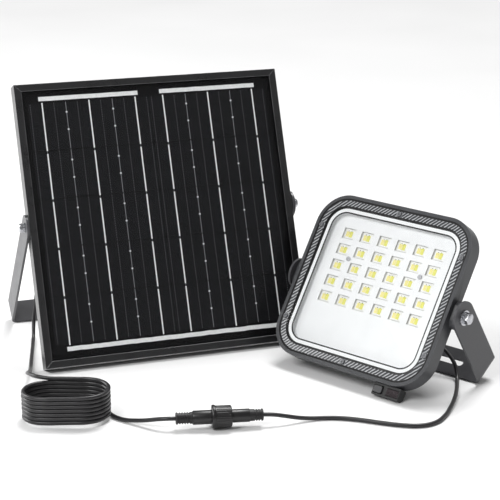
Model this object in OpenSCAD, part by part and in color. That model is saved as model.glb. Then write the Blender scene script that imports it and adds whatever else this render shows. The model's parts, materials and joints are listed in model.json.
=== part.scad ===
// Solar flood light: a framed solar panel on a tilting stand, and a flood lamp on a tilting
// bracket, joined by a lead with a two-pin waterproof connector.
// The panel and the lamp each have a frame of their own: X along the width, Z up the face,
// and Y from the front to the back. Both lean back on the floor, which is the plane Z = 0.

/* [Solar panel] */
// Width of the panel frame
panel_w = 350; // [346:1:356]
// Height of the panel frame
panel_h = 360; // [350:1:366]
// Depth of the frame rails
panel_t = 20; // [18:1:20]
// Angle that the panel leans back from upright
panel_lean = 22.5; // [21:0.5:24]
// Angle that the panel is turned about the vertical
panel_yaw = 19; // [18:0.5:20]
// Width of the lip over the glass
lip_w = 9; // [7:0.5:10]
// Width of the closed chamber of a rail
chamber_w = 13; // [12:0.5:14]
// Width of one solar cell
cell_w = 158; // [150:1:158]
// Height of one solar cell
cell_h = 60; // [56:0.5:61]

/* [Panel stand] */
// Width of the stand's strip
stand_strip = 32; // [28:1:34]
// Length of the arms from the pivot to the outer face of the base
stand_arm = 210; // [206:1:216]
// Thickness of the strip of the stand and of the bracket
strip_t = 3; // [2.5:0.5:3]

/* [Flood lamp] */
// Width of the lamp
lamp_w = 236; // [232:1:238]
// Height of the lamp
lamp_h = 218; // [214:1:218]
// Angle that the lamp leans back from upright
lamp_lean = 33.3; // [33:0.1:33.6]
// Angle that the lamp is turned about the vertical
lamp_yaw = -42; // [-43:0.5:-41]
// Columns of light-emitting diodes
led_columns = 6; // [4:1:6]
// Rows of light-emitting diodes
led_rows = 5; // [4:1:5]
// Distance between the columns
led_pitch_x = 27.8; // [26:0.2:28]
// Distance between the rows
led_pitch_z = 21.4; // [20:0.2:21.4]

/* [Lamp bracket] */
// Width of the bracket's strip
bracket_strip = 40; // [36:1:42]
// Length of the arms from the pivot to the outer face of the base
bracket_arm = 104; // [104:0.5:106]
// Width of the long slot in the base
bracket_slot = 8.5; // [6.5:0.5:9]

/* [Cord] */
// Diameter of the round two-core cord
cord_d = 5; // [4.6:0.2:5]
// Turns of cord in the hank
coil_turns = 8; // [7:1:8]

/* [Hidden] */
$fn = 64;

cut = 0.1;              // how far a cutter passes the face that it cuts
fit = 0.06;             // radial play of a hole that turns on a bolt
thread_fit = 0.02;      // radial play of a bolt in its thread

// The origin is under the middle of the box round everything but the cord.
centre_x = -14.2;
centre_y = 474.92;

// ---- solar panel ----
rail_wall = 1.6;
laminate_edge = 2.6;    // from the outside of the frame to the edge of the glass
front_y = -panel_t / 2;
back_y = panel_t / 2;
glass_y = front_y + 1.5;
ribbon_y = glass_y + 3.2;
cell_y = ribbon_y + 0.2;
sheet_y = cell_y + 0.4;
ledge_y = sheet_y + 0.8;
chamber_y = ledge_y + 1.4;
cell_columns = 2;
cell_rows = 5;
column_pitch = cell_w + 1;
row_pitch = cell_h + 1.7;
cells_z = 1.8;          // middle of the cells above the middle of the frame
ribbon_pitch = 61;
ribbon_w = 1.5;
bar_h = 5.5;
top_bar_z = 160.7;
bottom_bar_z = -158;

panel_edge = [-94, 433];          // middle of the panel's bottom back edge, on the floor
pivot_height = panel_h / 2 * cos(panel_lean) + panel_t / 2 * sin(panel_lean);
pivot_y = 2.2;                    // hinge axis behind the middle of the panel's thickness
pivot_back = panel_h / 2 * sin(panel_lean) - panel_t / 2 * cos(panel_lean);
panel_at = [panel_edge[0] - pivot_back * sin(panel_yaw),
            panel_edge[1] + pivot_back * cos(panel_yaw), pivot_height];

// ---- panel pivots: M6 ----
m6_r = 3;
nut_flange_t = 1;
stand_inside = panel_w / 2 + nut_flange_t;
stand_outside = stand_inside + strip_t;
m6_washer_r = 6;
m6_washer_t = 1.6;
m6_spring_r = 5.9;
m6_spring_t = 1.6;
m6_head_af = 10;
m6_head_h = 4;
// Angle of a strip's arms about the pivot at which the base's front edge meets the floor.
function arm_angle(lean, height, arm, strip) =
    90 + lean - asin(height / sqrt(arm * arm + strip * strip / 4)) + atan(strip / 2 / arm);
stand_angle = arm_angle(panel_lean, pivot_height - pivot_y * sin(panel_lean), stand_arm,
                        stand_strip);
stand_hole_r = 4.25;
stand_hole_x = 110;
stand_bend = 8;

// ---- junction box ----
box_at = [-60, 70];               // middle of the box on the back of the panel, X and Z
box_w = 62;
box_h = 46;
box_y = ledge_y;
lid_y = box_y + 13;
gland_at = [3.5, 62];             // Y and Z of the gland's axis
gland_inner_x = box_at[0] - box_w / 2;
gland_len = 11;

// ---- flood lamp ----
lamp_at = [156.3, 380, 103.4];
lamp_hinge = [6, -3];             // Y and Z of the hinge axis
lamp_corner = 42;
lamp_front = -13;
lamp_edge = 7;
cover_edge = 5.5;                 // from the outside of the lamp to the edge of the cover
window_edge = 15.5;               // from the outside of the lamp to the opening for the light
cover_y = -12.4;
cover_t = 2;
seat_y = -8.4;
floor_y = 1.6;
rear_y = 4.6;
rear_w = 190;
rear_h = 176;
rear_corner = 34;
rear_wall = 3;
rear_seat = 26;
rear_lid_y = 27;
rear_end = 32;
boss_out = 126.6;
bracket_outside = boss_out + strip_t;
lamp_hinge_height = lamp_at[2] + lamp_hinge[1] * cos(lamp_lean) - lamp_hinge[0] * sin(lamp_lean);
bracket_angle = arm_angle(lamp_lean, lamp_hinge_height, bracket_arm, bracket_strip);
bracket_bend = 9;
bracket_slot_from = 45;           // middle of each slot's inner end, from the middle
bracket_slot_to = 88;
bracket_hole_r = 4.25;

// ---- lamp pivots: M8 ----
m8_r = 4;
m8_washer_r = 9.5;
m8_washer_t = 1.6;
m8_spring_r = 7.4;
m8_spring_t = 2;
m8_head_af = 13;
m8_head_h = 5.3;

leds_z = 19;                      // middle of the diodes above the middle of the lamp
led_w = 11;
led_h = 10;
window_w = 18;
window_h = 14;
cover_screw_at = [[-108.5, 63], [108.5, 63], [-108.5, -63], [108.5, -63], [0, 98.5], [0, -98.5]];
rear_screw_at = [[-86.5, 45], [86.5, 45], [-86.5, -45], [86.5, -45], [0, 79.5], [0, -79.5]];
board_post_at = [[10, 0], [60, 0], [10, 45], [60, 45]];
board_y = 12;                     // face of the controller board on its posts
lamp_gland_at = [45, -30];
gland_end = 50;
vent_at = [-45, -30];

// ---- control box under the lamp ----
control_x = [53, 92];
control_z = -124.2;
control_front = -9;
control_back = 4;
button_x = [55.2, 67.2];
button_z = [-121.2, -112.6];
button_front = -11;
button_back = -4;
button_gap = 0.4;
window_x = [73.5, 90.5];

// ---- connector, from its panel end along X, resting on the floor ----
connector_at = [-85, 188, 14];
connector_yaw = 6.8;
relief_len = 19.5;
socket_end = 44;
flange_end = 46.5;
nose_end = 60;
barrel_end = 48.3;
nut_x = 41.5;
nut_end = 64.5;
nut_bore_r = 10.8;
plug_end = 85.2;
plug_relief_end = 101;
contact_gap = 3;                  // from the axis to each contact

// ---- cord ----
coil_at = [-213, 222];
coil_straight = 42;               // straight run of the hank's turns
coil_r = 28.5;                    // radius of the round ends, at the middle of the cord
lie = cord_d / 2;                 // height of the middle of a cord that lies on the floor
// From the junction box down to the floor and along it to the top of the hank
panel_lead_route = [
    [-219, 482.5, 225], [-231, 478.5, 225], [-245, 475, 221], [-257, 475, 211], [-265, 478, 194],
    [-269, 484, 167], [-272, 491, 132], [-276, 498, 97], [-281, 502, 64], [-285, 502, 36],
    [-286.5, 496, 16], [-285.5, 484, 5], [-284, 467, 2.6], [-281, 436, 2.6], [-278, 405, 2.6],
    [-275, 375, 3.5], [-272, 345, 10], [-270, 315, 20], [-266, 290, 30], [-261, 270, 36.5],
    [-252, 256, 39], [-240, 251, 39], [-234, 250.5, 38.4]];
// From the bottom of the hank to the connector
lead_run_route = [
    [-163, 229, 2.6], [-160, 224.5, 2.6], [-153.5, 217, 2.6], [-144, 210, 3], [-132, 203.5, 5],
    [-118, 196, 8.5], [-106, 190.5, 12], [-95, 187.2, 14], [-85, 188, 14]];
// From the connector along the floor and up to the lamp's gland
lamp_lead_route = [
    [15.3, 200, 14], [27, 201.4, 13.2], [40, 204, 10.5], [55, 208.5, 6.5], [70, 213.5, 3.6],
    [86, 217, 2.6], [105, 216.5, 2.6], [128, 211, 2.6], [150, 203, 2.6], [174, 196, 2.6],
    [195, 194.5, 2.6], [213, 203, 2.6], [226, 222, 2.6], [236, 248, 2.6], [244, 275, 2.6],
    [250, 302, 2.6], [253.3, 323, 2.6], [254.8, 335, 4], [255, 344.5, 9.5], [253, 353.5, 17.5],
    [247.5, 363, 25], [239.5, 371.5, 31.5], [229.5, 377, 36], [219.5, 378.5, 40.5],
    [212.4, 375, 45.4], [206.7, 368.8, 50.8]];
tube_sides = 8;

// ================= shapes used by more than one piece =================

module rounded_rect(w, h, r) {
    square([w - 2 * r, h], center = true);
    square([w, h - 2 * r], center = true);
    for (x = [-1, 1], z = [-1, 1])
        translate([x * (w / 2 - r), z * (h / 2 - r)]) circle(r);
}

// A flat shape drawn in X and Z, made solid from y0 to y1
module slab(y0, y1) {
    translate([0, y1, 0]) rotate([90, 0, 0]) linear_extrude(y1 - y0) children();
}

// A flat shape drawn in Y and Z, made solid from x0 to x1
module side_slab(x0, x1) {
    translate([x0, 0, 0]) rotate([90, 0, 90]) linear_extrude(x1 - x0) children();
}

module block(x0, x1, y0, y1, z0, z1) {
    translate([x0, y0, z0]) cube([x1 - x0, y1 - y0, z1 - z0]);
}

// A round bar along Y, or a hexagonal one with sides = 6
module post(y0, y1, r, sides = $fn) {
    translate([0, y0, 0]) rotate([-90, 0, 0]) cylinder(h = y1 - y0, r = r, $fn = sides);
}

// The same along X
module axle(x0, x1, r, sides = $fn) {
    translate([x0, 0, 0]) rotate([0, 90, 0]) cylinder(h = x1 - x0, r = r, $fn = sides);
}

// A tapered round bar along X
module taper(x0, x1, r0, r1) {
    translate([x0, 0, 0]) rotate([0, 90, 0]) cylinder(h = x1 - x0, r1 = r0, r2 = r1);
}

module washer(x0, thickness, outer_r, inner_r) {
    difference() {
        axle(x0, x0 + thickness, outer_r);
        axle(x0 - cut, x0 + thickness + cut, inner_r);
    }
}

function hex_r(across_flats) = across_flats / 2 / cos(30);

module both_sides() {
    children();
    mirror([1, 0, 0]) children();
}

module on_panel() {
    translate([-centre_x, -centre_y, 0]) translate(panel_at)
        rotate([-panel_lean, 0, panel_yaw]) children();
}

// At the middle of the panel's hinge axis
module at_pivot() {
    on_panel() translate([0, pivot_y, 0]) children();
}

module on_lamp() {
    translate([-centre_x, -centre_y, 0]) translate(lamp_at)
        rotate([-lamp_lean, 0, lamp_yaw]) children();
}

module at_hinge() {
    translate([0, lamp_hinge[0], lamp_hinge[1]]) children();
}

module on_connector() {
    translate([-centre_x, -centre_y, 0]) translate(connector_at)
        rotate([0, 0, connector_yaw]) children();
}

// A U of strip round the pivot, with its arms pointing down and its base at the bottom
module strip_u(outside, arm, strip, bend, hole_r) {
    both_sides() side_slab(outside - strip_t, outside) difference() {
        union() {
            circle(strip / 2);
            translate([-strip / 2, bend - arm]) square([strip, arm - bend]);
        }
        circle(hole_r);
    }
    both_sides() translate([outside - bend, 0, bend - arm]) rotate([90, 0, 0])
        rotate_extrude(angle = -90) translate([bend - strip_t, -strip / 2]) square([strip_t, strip]);
    block(bend - outside, outside - bend, -strip / 2, strip / 2, -arm, strip_t - arm);
}

// ================= sweeping a cord along its route =================

// A point on the smooth curve through a route, at a fraction t of the stretch after point i
function route_point(p, i, t) =
    let (a = p[max(i - 1, 0)], b = p[i], c = p[i + 1], d = p[min(i + 2, len(p) - 1)])
    0.5 * (2 * b + (c - a) * t + (2 * a - 5 * b + 4 * c - d) * t * t
           + (3 * b - a - 3 * c + d) * t * t * t);
function unit(v) = v / norm(v);
function route_line(p, steps) = concat(
    [for (i = [0 : len(p) - 2], k = [0 : steps - 1]) route_point(p, i, k / steps)],
    [p[len(p) - 1]]);
function heading(q, i) = unit(q[min(i + 1, len(q) - 1)] - q[max(i - 1, 0)]);
// One ring of the tube, square to the cord; the cord never runs along up
function ring(at, along, r, up) =
    let (level = unit(cross(along, up)), over = cross(level, along))
    [for (k = [0 : tube_sides - 1])
        at + r * (level * cos((k + 0.5) * 360 / tube_sides)
                  + over * sin((k + 0.5) * 360 / tube_sides))];

module cord_tube(route, steps, up = [0, 0, 1]) {
    q = route_line(route, steps);
    n = len(q);
    points = [for (i = [0 : n - 1]) each ring(q[i], heading(q, i), cord_d / 2, up)];
    sides = [for (i = [0 : n - 2], k = [0 : tube_sides - 1])
        let (a = i * tube_sides + k, b = i * tube_sides + (k + 1) % tube_sides)
        each [[a, b, b + tube_sides], [a, b + tube_sides, a + tube_sides]]];
    first = [for (k = [tube_sides - 1 : -1 : 0]) k];
    last = [for (k = [0 : tube_sides - 1]) (n - 1) * tube_sides + k];
    translate([-centre_x, -centre_y, 0])
        polyhedron(points = points, faces = concat([first], sides, [last]), convexity = 10);
}

// ================= solar panel =================

// Section of a rail: depth from the middle, then distance in from the outside
module rail_section() {
    difference() {
        polygon([[front_y, 0], [back_y, 0], [back_y, chamber_w], [ledge_y, chamber_w],
                 [ledge_y, rail_wall], [glass_y, rail_wall], [glass_y, lip_w], [front_y, lip_w]]);
        translate([chamber_y, rail_wall])
            square([back_y - rail_wall - chamber_y, chamber_w - 2 * rail_wall]);
    }
}

// A rail along X with mitred ends, its outside at Z = 0 and its inside up
module rail(length) {
    intersection() {
        translate([-length / 2, 0, 0]) rotate([90, 0, 90]) linear_extrude(length) rail_section();
        slab(front_y - cut, back_y + cut) polygon([[-length / 2, 0], [length / 2, 0],
            [length / 2 - chamber_w, chamber_w], [chamber_w - length / 2, chamber_w]]);
    }
}

module side_rail() {
    difference() {
        rotate([0, 90, 0]) translate([0, 0, -panel_w / 2]) rail(panel_h);
        translate([0, pivot_y, 0])
            axle(-panel_w / 2 - cut, rail_wall - panel_w / 2 + cut, 4.5);
    }
}

module frame_left() {
    color("#1b1b1d") on_panel() side_rail();
}

module frame_right() {
    color("#1b1b1d") on_panel() mirror([1, 0, 0]) side_rail();
}

module frame_bottom() {
    color("#1b1b1d") on_panel() translate([0, 0, -panel_h / 2]) rail(panel_w);
}

module frame_top() {
    color("#1b1b1d") on_panel() mirror([0, 0, 1]) translate([0, 0, -panel_h / 2]) rail(panel_w);
}

// Angle keys that fill the ends of the rail chambers
module corner_keys() {
    key_len = 28;
    key_in = rail_wall + 0.3;
    key_w = chamber_w - 2 * key_in;
    color("silver") on_panel() for (x = [0, 1], z = [0, 1]) mirror([x, 0, 0]) mirror([0, 0, z])
        translate([key_in - panel_w / 2, 0, key_in - panel_h / 2]) {
            block(0, key_len, chamber_y + 0.3, back_y - rail_wall - 0.3, 0, key_w);
            block(0, key_w, chamber_y + 0.3, back_y - rail_wall - 0.3, key_w, key_len);
        }
}

module laminate_layer(y0, y1, edge) {
    block(edge - panel_w / 2, panel_w / 2 - edge, y0, y1, edge - panel_h / 2, panel_h / 2 - edge);
}

module edge_seal() {
    color("#151515") on_panel() difference() {
        laminate_layer(glass_y, ledge_y, rail_wall);
        laminate_layer(glass_y - cut, ledge_y + cut, laminate_edge);
    }
}

module panel_glass() {
    color("#24262c") on_panel() laminate_layer(glass_y, ribbon_y, laminate_edge);
}

module back_sheet() {
    color("#1b1b1d") on_panel() laminate_layer(sheet_y, ledge_y, laminate_edge);
}

module each_column() {
    for (c = [0 : cell_columns - 1])
        translate([(c - (cell_columns - 1) / 2) * column_pitch, 0, 0]) children();
}

module solar_cells() {
    color("#1d1b1e") on_panel() each_column() for (r = [0 : cell_rows - 1])
        translate([0, 0, cells_z + (r - (cell_rows - 1) / 2) * row_pitch])
            block(-cell_w / 2, cell_w / 2, cell_y, sheet_y, -cell_h / 2, cell_h / 2);
}

module cell_ribbons() {
    color("#d9dde0") on_panel() each_column() for (k = [-1 : 1])
        translate([k * ribbon_pitch, 0, 0])
            block(-ribbon_w / 2, ribbon_w / 2, ribbon_y, cell_y,
                  bottom_bar_z + bar_h / 2, top_bar_z - bar_h / 2);
}

module bus_bars() {
    reach = ribbon_pitch + 4;
    color("#d9dde0") on_panel() {
        each_column() block(-reach, reach, ribbon_y, cell_y,
                            top_bar_z - bar_h / 2, top_bar_z + bar_h / 2);
        block(-column_pitch / 2 - reach, column_pitch / 2 + reach, ribbon_y, cell_y,
              bottom_bar_z - bar_h / 2, bottom_bar_z + bar_h / 2);
    }
}

// ---- junction box on the back of the panel ----

module at_box() {
    translate([box_at[0], 0, box_at[1]]) children();
}

module box_screw_places() {
    for (x = [-1, 1], z = [-1, 1])
        translate([x * (box_w / 2 - 5), 0, z * (box_h / 2 - 5)]) children();
}

module junction_box() {
    color("#161617") on_panel() difference() {
        at_box() union() {
            difference() {
                slab(box_y, lid_y) rounded_rect(box_w, box_h, 4);
                slab(box_y + 2, lid_y + cut) rounded_rect(box_w - 5, box_h - 5, 2);
            }
            box_screw_places() post(box_y, lid_y, 3);
        }
        at_box() box_screw_places() post(lid_y - 8, lid_y + cut, 1.5 + thread_fit);
        translate([0, gland_at[0], gland_at[1]]) axle(gland_inner_x - cut, gland_inner_x + 4, 3);
    }
}

module lid_gasket() {
    color("#0c0c0c") on_panel() at_box() difference() {
        slab(lid_y, lid_y + 0.6) rounded_rect(box_w, box_h, 4);
        slab(lid_y - cut, lid_y + 0.6 + cut) rounded_rect(box_w - 5, box_h - 5, 2);
        box_screw_places() post(lid_y - cut, lid_y + 0.6 + cut, 3);
    }
}

module junction_lid() {
    color("#161617") on_panel() at_box() difference() {
        slab(lid_y + 0.6, lid_y + 2.6) rounded_rect(box_w, box_h, 4);
        box_screw_places() post(lid_y, lid_y + 3, 1.7);
    }
}

module junction_screws() {
    color("silver") on_panel() at_box() box_screw_places() {
        post(lid_y - 7, lid_y + 2.6, 1.5);
        post(lid_y + 2.6, lid_y + 4.4, 2.75);
    }
}

module terminal_board() {
    color("#1d5c36") on_panel() at_box() {
        block(-20, 20, box_y + 2, box_y + 3.6, -12, 12);
        for (x = [-11, 11]) block(x - 4, x + 4, box_y + 3.6, box_y + 9, -6, 6);
        block(-5, 5, box_y + 3.6, box_y + 6, -2, 2);
    }
}

module junction_gland() {
    color("#161617") on_panel() translate([0, gland_at[0], gland_at[1]]) {
        axle(gland_inner_x - 4, gland_inner_x, hex_r(11.4), 6);
        axle(gland_inner_x - gland_len + 3, gland_inner_x - 4, 5.2);
        taper(gland_inner_x - gland_len, gland_inner_x - gland_len + 3, 3.6, 5.2);
        axle(gland_inner_x, gland_inner_x + 4, 3 - thread_fit);
    }
}

// ---- panel pivots ----

module panel_rivet_nuts() {
    color("silver") at_pivot() both_sides() difference() {
        union() {
            axle(panel_w / 2, panel_w / 2 + nut_flange_t, 6.5);
            axle(panel_w / 2 - 10, panel_w / 2, 4.5 - thread_fit);
        }
        axle(panel_w / 2 - 10 - cut, stand_inside + cut, m6_r + thread_fit);
    }
}

module panel_flat_washers() {
    color("silver") at_pivot() both_sides()
        washer(stand_outside, m6_washer_t, m6_washer_r, m6_r + thread_fit);
}

module split_washer(x0, thickness, outer_r, inner_r) {
    difference() {
        washer(x0, thickness, outer_r, inner_r);
        rotate([24, 0, 0]) block(x0 - cut, x0 + thickness + cut, -0.6, 0.6, 0, outer_r + 1);
    }
}

module panel_spring_washers() {
    color("silver") at_pivot() both_sides()
        split_washer(stand_outside + m6_washer_t, m6_spring_t, m6_spring_r - 0.7, m6_r + thread_fit);
}

module hex_bolt(tip, seat, r, head_af, head_h) {
    axle(tip, seat, r);
    intersection() {
        axle(seat, seat + head_h, hex_r(head_af), 6);
        taper(seat, seat + head_h, hex_r(head_af) + head_h * 1.2 - 0.4, head_af / 2 * 0.94);
    }
}

module panel_pivot_bolts() {
    color("silver") at_pivot() both_sides()
        hex_bolt(panel_w / 2 - 9, stand_outside + m6_washer_t + m6_spring_t, m6_r,
                 m6_head_af, m6_head_h);
}

module panel_stand() {
    color("#5a5a5e") at_pivot() rotate([stand_angle, 0, 0]) difference() {
        strip_u(stand_outside, stand_arm, stand_strip, stand_bend, m6_r + fit);
        for (x = [-stand_hole_x, 0, stand_hole_x])
            translate([x, 0, -stand_arm - cut]) cylinder(h = strip_t + 2 * cut, r = stand_hole_r);
    }
}

// ================= cord and connector =================

module panel_lead() {
    color("#3f3d3e") cord_tube(panel_lead_route, 1, [1, -1, 0]);
}

module lead_run() {
    color("#3f3d3e") cord_tube(lead_run_route, 1);
}

module lamp_lead() {
    color("#3f3d3e") cord_tube(lamp_lead_route, 1);
}

module hank_outline(r) {
    square([coil_straight, 2 * r], center = true);
    for (x = [-1, 1]) translate([x * coil_straight / 2, 0]) circle(r);
}

module cable_coil() {
    color("#3f3d3e") translate([coil_at[0] - centre_x, coil_at[1] - centre_y, 0])
        linear_extrude(coil_turns * cord_d) difference() {
            hank_outline(coil_r + cord_d / 2);
            hank_outline(coil_r - cord_d / 2);
        }
}

// Ribbed sleeve round the cord, thick at the wide end
module ribbed_sleeve(length, r) {
    rib = 1.6;
    gap = 1.4;
    difference() {
        axle(0, length, r);
        for (x = [2.5 : rib + gap : length - 4]) washer(x, gap, r + 1, r - 1.2);
    }
}

module socket_relief() {
    color("#2f2d2e") on_connector() ribbed_sleeve(relief_len, 7);
}

module contact_places() {
    for (y = [-contact_gap, contact_gap]) translate([0, y, 0]) children();
}

module socket_body() {
    color("#2f2d2e") on_connector() difference() {
        union() {
            axle(relief_len, socket_end, 8.2);
            axle(socket_end, flange_end, nut_bore_r - 0.09);
            axle(flange_end, nose_end, 6);
        }
        contact_places() axle(nose_end - 13, nose_end + cut, 1.5 + thread_fit);
    }
}

module contact_sockets() {
    color("#b08d3c") on_connector() contact_places()
        washer(nose_end - 12.5, 12, 1.5, 1.05);
}

module o_ring() {
    color("#8a2a20") on_connector() translate([(flange_end + barrel_end) / 2, 0, 0])
        rotate([0, 90, 0]) rotate_extrude() translate([6.9, 0]) circle(0.85);
}

module coupling_nut() {
    ridge_end = nut_x + 4;
    color("#2f2d2e") on_connector() difference() {
        union() {
            axle(nut_x, ridge_end, 13.85);
            axle(ridge_end, nut_end, 12.85);
        }
        axle(nut_x - cut, nut_end + cut, nut_bore_r);
    }
}

module plug_body() {
    color("#2f2d2e") on_connector() difference() {
        union() {
            axle(barrel_end, nut_end - 2, 8.9);
            axle(nut_end - 2, plug_end, 7.7);
        }
        axle(barrel_end - cut, nose_end + 1.5, 6.4);
        contact_places() axle(nose_end - cut, nose_end + 6, 1 + thread_fit);
    }
}

module contact_pins() {
    color("#b08d3c") on_connector() contact_places() axle(nose_end - 9, nose_end + 6, 1);
}

module plug_relief() {
    color("#2f2d2e") on_connector() translate([plug_relief_end, 0, 0]) mirror([1, 0, 0])
        ribbed_sleeve(plug_relief_end - plug_end, 7);
}

// ================= flood lamp =================

// Outline of the lamp, drawn in from its outside by an edge
module lamp_outline(edge) {
    rounded_rect(lamp_w - 2 * edge, lamp_h - 2 * edge, lamp_corner - edge);
}

module rear_outline(edge) {
    rounded_rect(rear_w - 2 * edge, rear_h - 2 * edge, rear_corner - edge);
}

module at_points(points) {
    for (p = points) translate([p[0], 0, p[1]]) children();
}

module lamp_housing() {
    color("#4a4a4e") on_lamp() difference() {
        union() {
            slab(lamp_front, lamp_edge) lamp_outline(0);
            slab(rear_y, rear_seat) rear_outline(0);
            both_sides() at_hinge() side_slab(98, boss_out) rounded_rect(22, 34, 9);
        }
        slab(lamp_front - cut, seat_y) lamp_outline(cover_edge - 1.2);
        slab(seat_y - cut, floor_y) lamp_outline(window_edge);
        slab(rear_y, rear_seat + cut) difference() {
            rear_outline(rear_wall);
            at_points_flat(rear_screw_at, 5);
            at_points_flat(board_post_at, 3);
        }
        slab(board_y, rear_seat + cut) at_points_flat(board_post_at, 3 + cut);
        slab(-2, lamp_edge + cut) difference() {
            lamp_outline(3);
            lamp_outline(window_edge - 2.5);
            for (x = [-1, 1]) translate([x * 108, lamp_hinge[1]]) square([30, 40], center = true);
        }
        both_sides() at_hinge() axle(104, boss_out + cut, m8_r + thread_fit);
        at_points(cover_screw_at) post(seat_y - cut, -2.5, 1.5 + thread_fit);
        at_points(rear_screw_at) post(12, rear_seat + cut, 2 + thread_fit);
        translate([0, 0, -55]) post(floor_y - cut, rear_y + cut, 4);
    }
}

module at_points_flat(points, r) {
    for (p = points) translate(p) circle(r);
}

module rear_gasket() {
    color("#0c0c0c") on_lamp() difference() {
        slab(rear_seat, rear_lid_y) union() {
            difference() {
                rear_outline(0);
                rear_outline(rear_wall);
            }
            at_points_flat(rear_screw_at, 5);
        }
        at_points(rear_screw_at) post(rear_seat - cut, rear_lid_y + cut, 2.2);
    }
}

module rear_cover() {
    rib_t = 2;
    color("#4a4a4e") on_lamp() difference() {
        union() {
            slab(rear_lid_y, rear_end) rear_outline(0);
            for (k = [-4 : 4])
                block(k * 16 - rib_t / 2, k * 16 + rib_t / 2, rear_end, rear_end + 3, -8, 66);
        }
        slab(rear_lid_y - cut, rear_end - 3) rear_outline(12);
        at_points(rear_screw_at) post(rear_lid_y - cut, rear_end + cut, 2.2);
        at_points([lamp_gland_at, vent_at]) post(rear_lid_y - cut, rear_end + cut, 6 + thread_fit);
    }
}

module rear_screws() {
    color("silver") on_lamp() at_points(rear_screw_at) difference() {
        union() {
            post(16, rear_end, 2);
            post(rear_end, rear_end + 2.6, 3.8);
        }
        post(rear_end + 1, rear_end + 3, hex_r(2.6), 6);
    }
}

module vent_plug() {
    color("#1a1a1c") on_lamp() at_points([vent_at]) {
        post(rear_end - 5, rear_end, 6);
        post(rear_end, rear_end + 3, 8);
    }
}

module cover_gasket() {
    color("#0c0c0c") on_lamp() difference() {
        slab(cover_y + 0.4, seat_y) lamp_outline(cover_edge - 1.1);
        slab(cover_y - cut, cover_y + cover_t) lamp_outline(cover_edge);
        slab(cover_y, seat_y + cut) lamp_outline(window_edge);
        at_points(cover_screw_at) post(cover_y, seat_y + cut, 1.7);
    }
}

module clear_cover() {
    color("#cfd3d6") on_lamp() difference() {
        slab(cover_y, cover_y + cover_t) lamp_outline(cover_edge);
        at_points(cover_screw_at) post(cover_y - cut, cover_y + cover_t + cut, 1.6);
    }
}

module light_mask() {
    band = 8;
    color("#f2f2f2") on_lamp() slab(cover_y + cover_t, cover_y + cover_t + 0.5) difference() {
        lamp_outline(window_edge + 0.2);
        lamp_outline(window_edge + band);
    }
}

module cover_screws() {
    color("#8c8c90") on_lamp() at_points(cover_screw_at) difference() {
        union() {
            post(cover_y - 1.6, cover_y, 2.8);
            post(cover_y, -3, 1.5);
        }
        post(cover_y - 2, cover_y - 0.8, hex_r(2), 6);
    }
}

// Places of the diodes
module each_led() {
    for (c = [0 : led_columns - 1], r = [0 : led_rows - 1])
        translate([(c - (led_columns - 1) / 2) * led_pitch_x, 0,
                   leds_z + ((led_rows - 1) / 2 - r) * led_pitch_z]) children();
}

module board_screw_places() {
    for (x = [-1, 1])
        translate([x * 2 * led_pitch_x, 0, leds_z + led_pitch_z / 2]) children();
}

module reflector() {
    plate_y = -2.6;
    plate_end = -1.6;
    color("white") on_lamp() difference() {
        slab(cover_y + cover_t + 0.5, plate_end) lamp_outline(window_edge + 0.5);
        slab(cover_y, plate_y) lamp_outline(window_edge + 2);
        each_led() block(-window_w / 2, window_w / 2, plate_y - cut, plate_end + cut,
                         -window_h / 2, window_h / 2);
        board_screw_places() post(plate_y - cut, plate_end + cut, 1.7);
    }
}

module led_board() {
    color("#dcdcd6") on_lamp() difference() {
        slab(0, floor_y) lamp_outline(window_edge + 2);
        board_screw_places() post(-cut, floor_y + cut, 1.7);
        translate([0, 0, -55]) post(-cut, floor_y + cut, 4);
    }
}

module leds() {
    color("#f0e9a0") on_lamp() each_led()
        block(-led_w / 2, led_w / 2, -1.4, 0, -led_h / 2, led_h / 2);
}

// Screws with a sleeve that holds the reflector off the board
module board_screws() {
    color("silver") on_lamp() board_screw_places() {
        post(-4.4, -2.6, 3);
        post(-2.6, floor_y, 1.6);
        post(-1.6, 0, 2.6);
    }
}

module battery_holder() {
    tray_w = 62;
    tray_x = -76;
    color("#202022") on_lamp() difference() {
        block(tray_x, tray_x + tray_w, rear_y, rear_y + 13, -35, 35);
        block(tray_x + 2, tray_x + tray_w - 2, rear_y + 1.5, rear_y + 14, -32.5, 32.5);
    }
}

module battery_cells() {
    cell_r = 9.2;
    color("#3d6fa8") on_lamp() for (k = [0 : 2])
        translate([-64 + k * 19, rear_y + 1.6 + cell_r, -32.4]) cylinder(h = 64.8, r = cell_r);
}

module controller_board() {
    color("#1d5c36") on_lamp() {
        difference() {
            block(4, 66, board_y, board_y + 1.6, -6, 51);
            at_points(board_post_at) post(board_y - cut, board_y + 2, 1.6);
        }
        block(20, 34, board_y + 1.6, board_y + 9, 8, 22);
        block(40, 52, board_y + 1.6, board_y + 5, 26, 40);
        translate([48, board_y + 1.6, 12]) post(0, 10, 4);
    }
}

// ---- control box under the lamp ----

module control_box() {
    pocket_x0 = button_x[0] - button_gap;
    pocket_x1 = button_x[1] + button_gap;
    pocket_z0 = button_z[0] - button_gap;
    pocket_z1 = button_z[1] + button_gap;
    color("#2c2c2e") on_lamp() difference() {
        side_slab(control_x[0], control_x[1]) polygon([
            [control_front, -lamp_h / 2 + 0.01], [control_front, control_z],
            [control_back - 5, control_z], [control_back, control_z + 4],
            [control_back, -lamp_h / 2 + 0.01]]);
        block(pocket_x0, pocket_x1, control_front - cut, 0.4, pocket_z0, pocket_z1);
        block(window_x[0], window_x[1], control_front - cut, control_front + 1.5,
              button_z[0], button_z[1]);
    }
}

module ir_window() {
    color("#3a0d10") on_lamp() block(window_x[0], window_x[1], control_front - 0.4,
                                    control_front + 1.5, button_z[0], button_z[1]);
}

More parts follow.
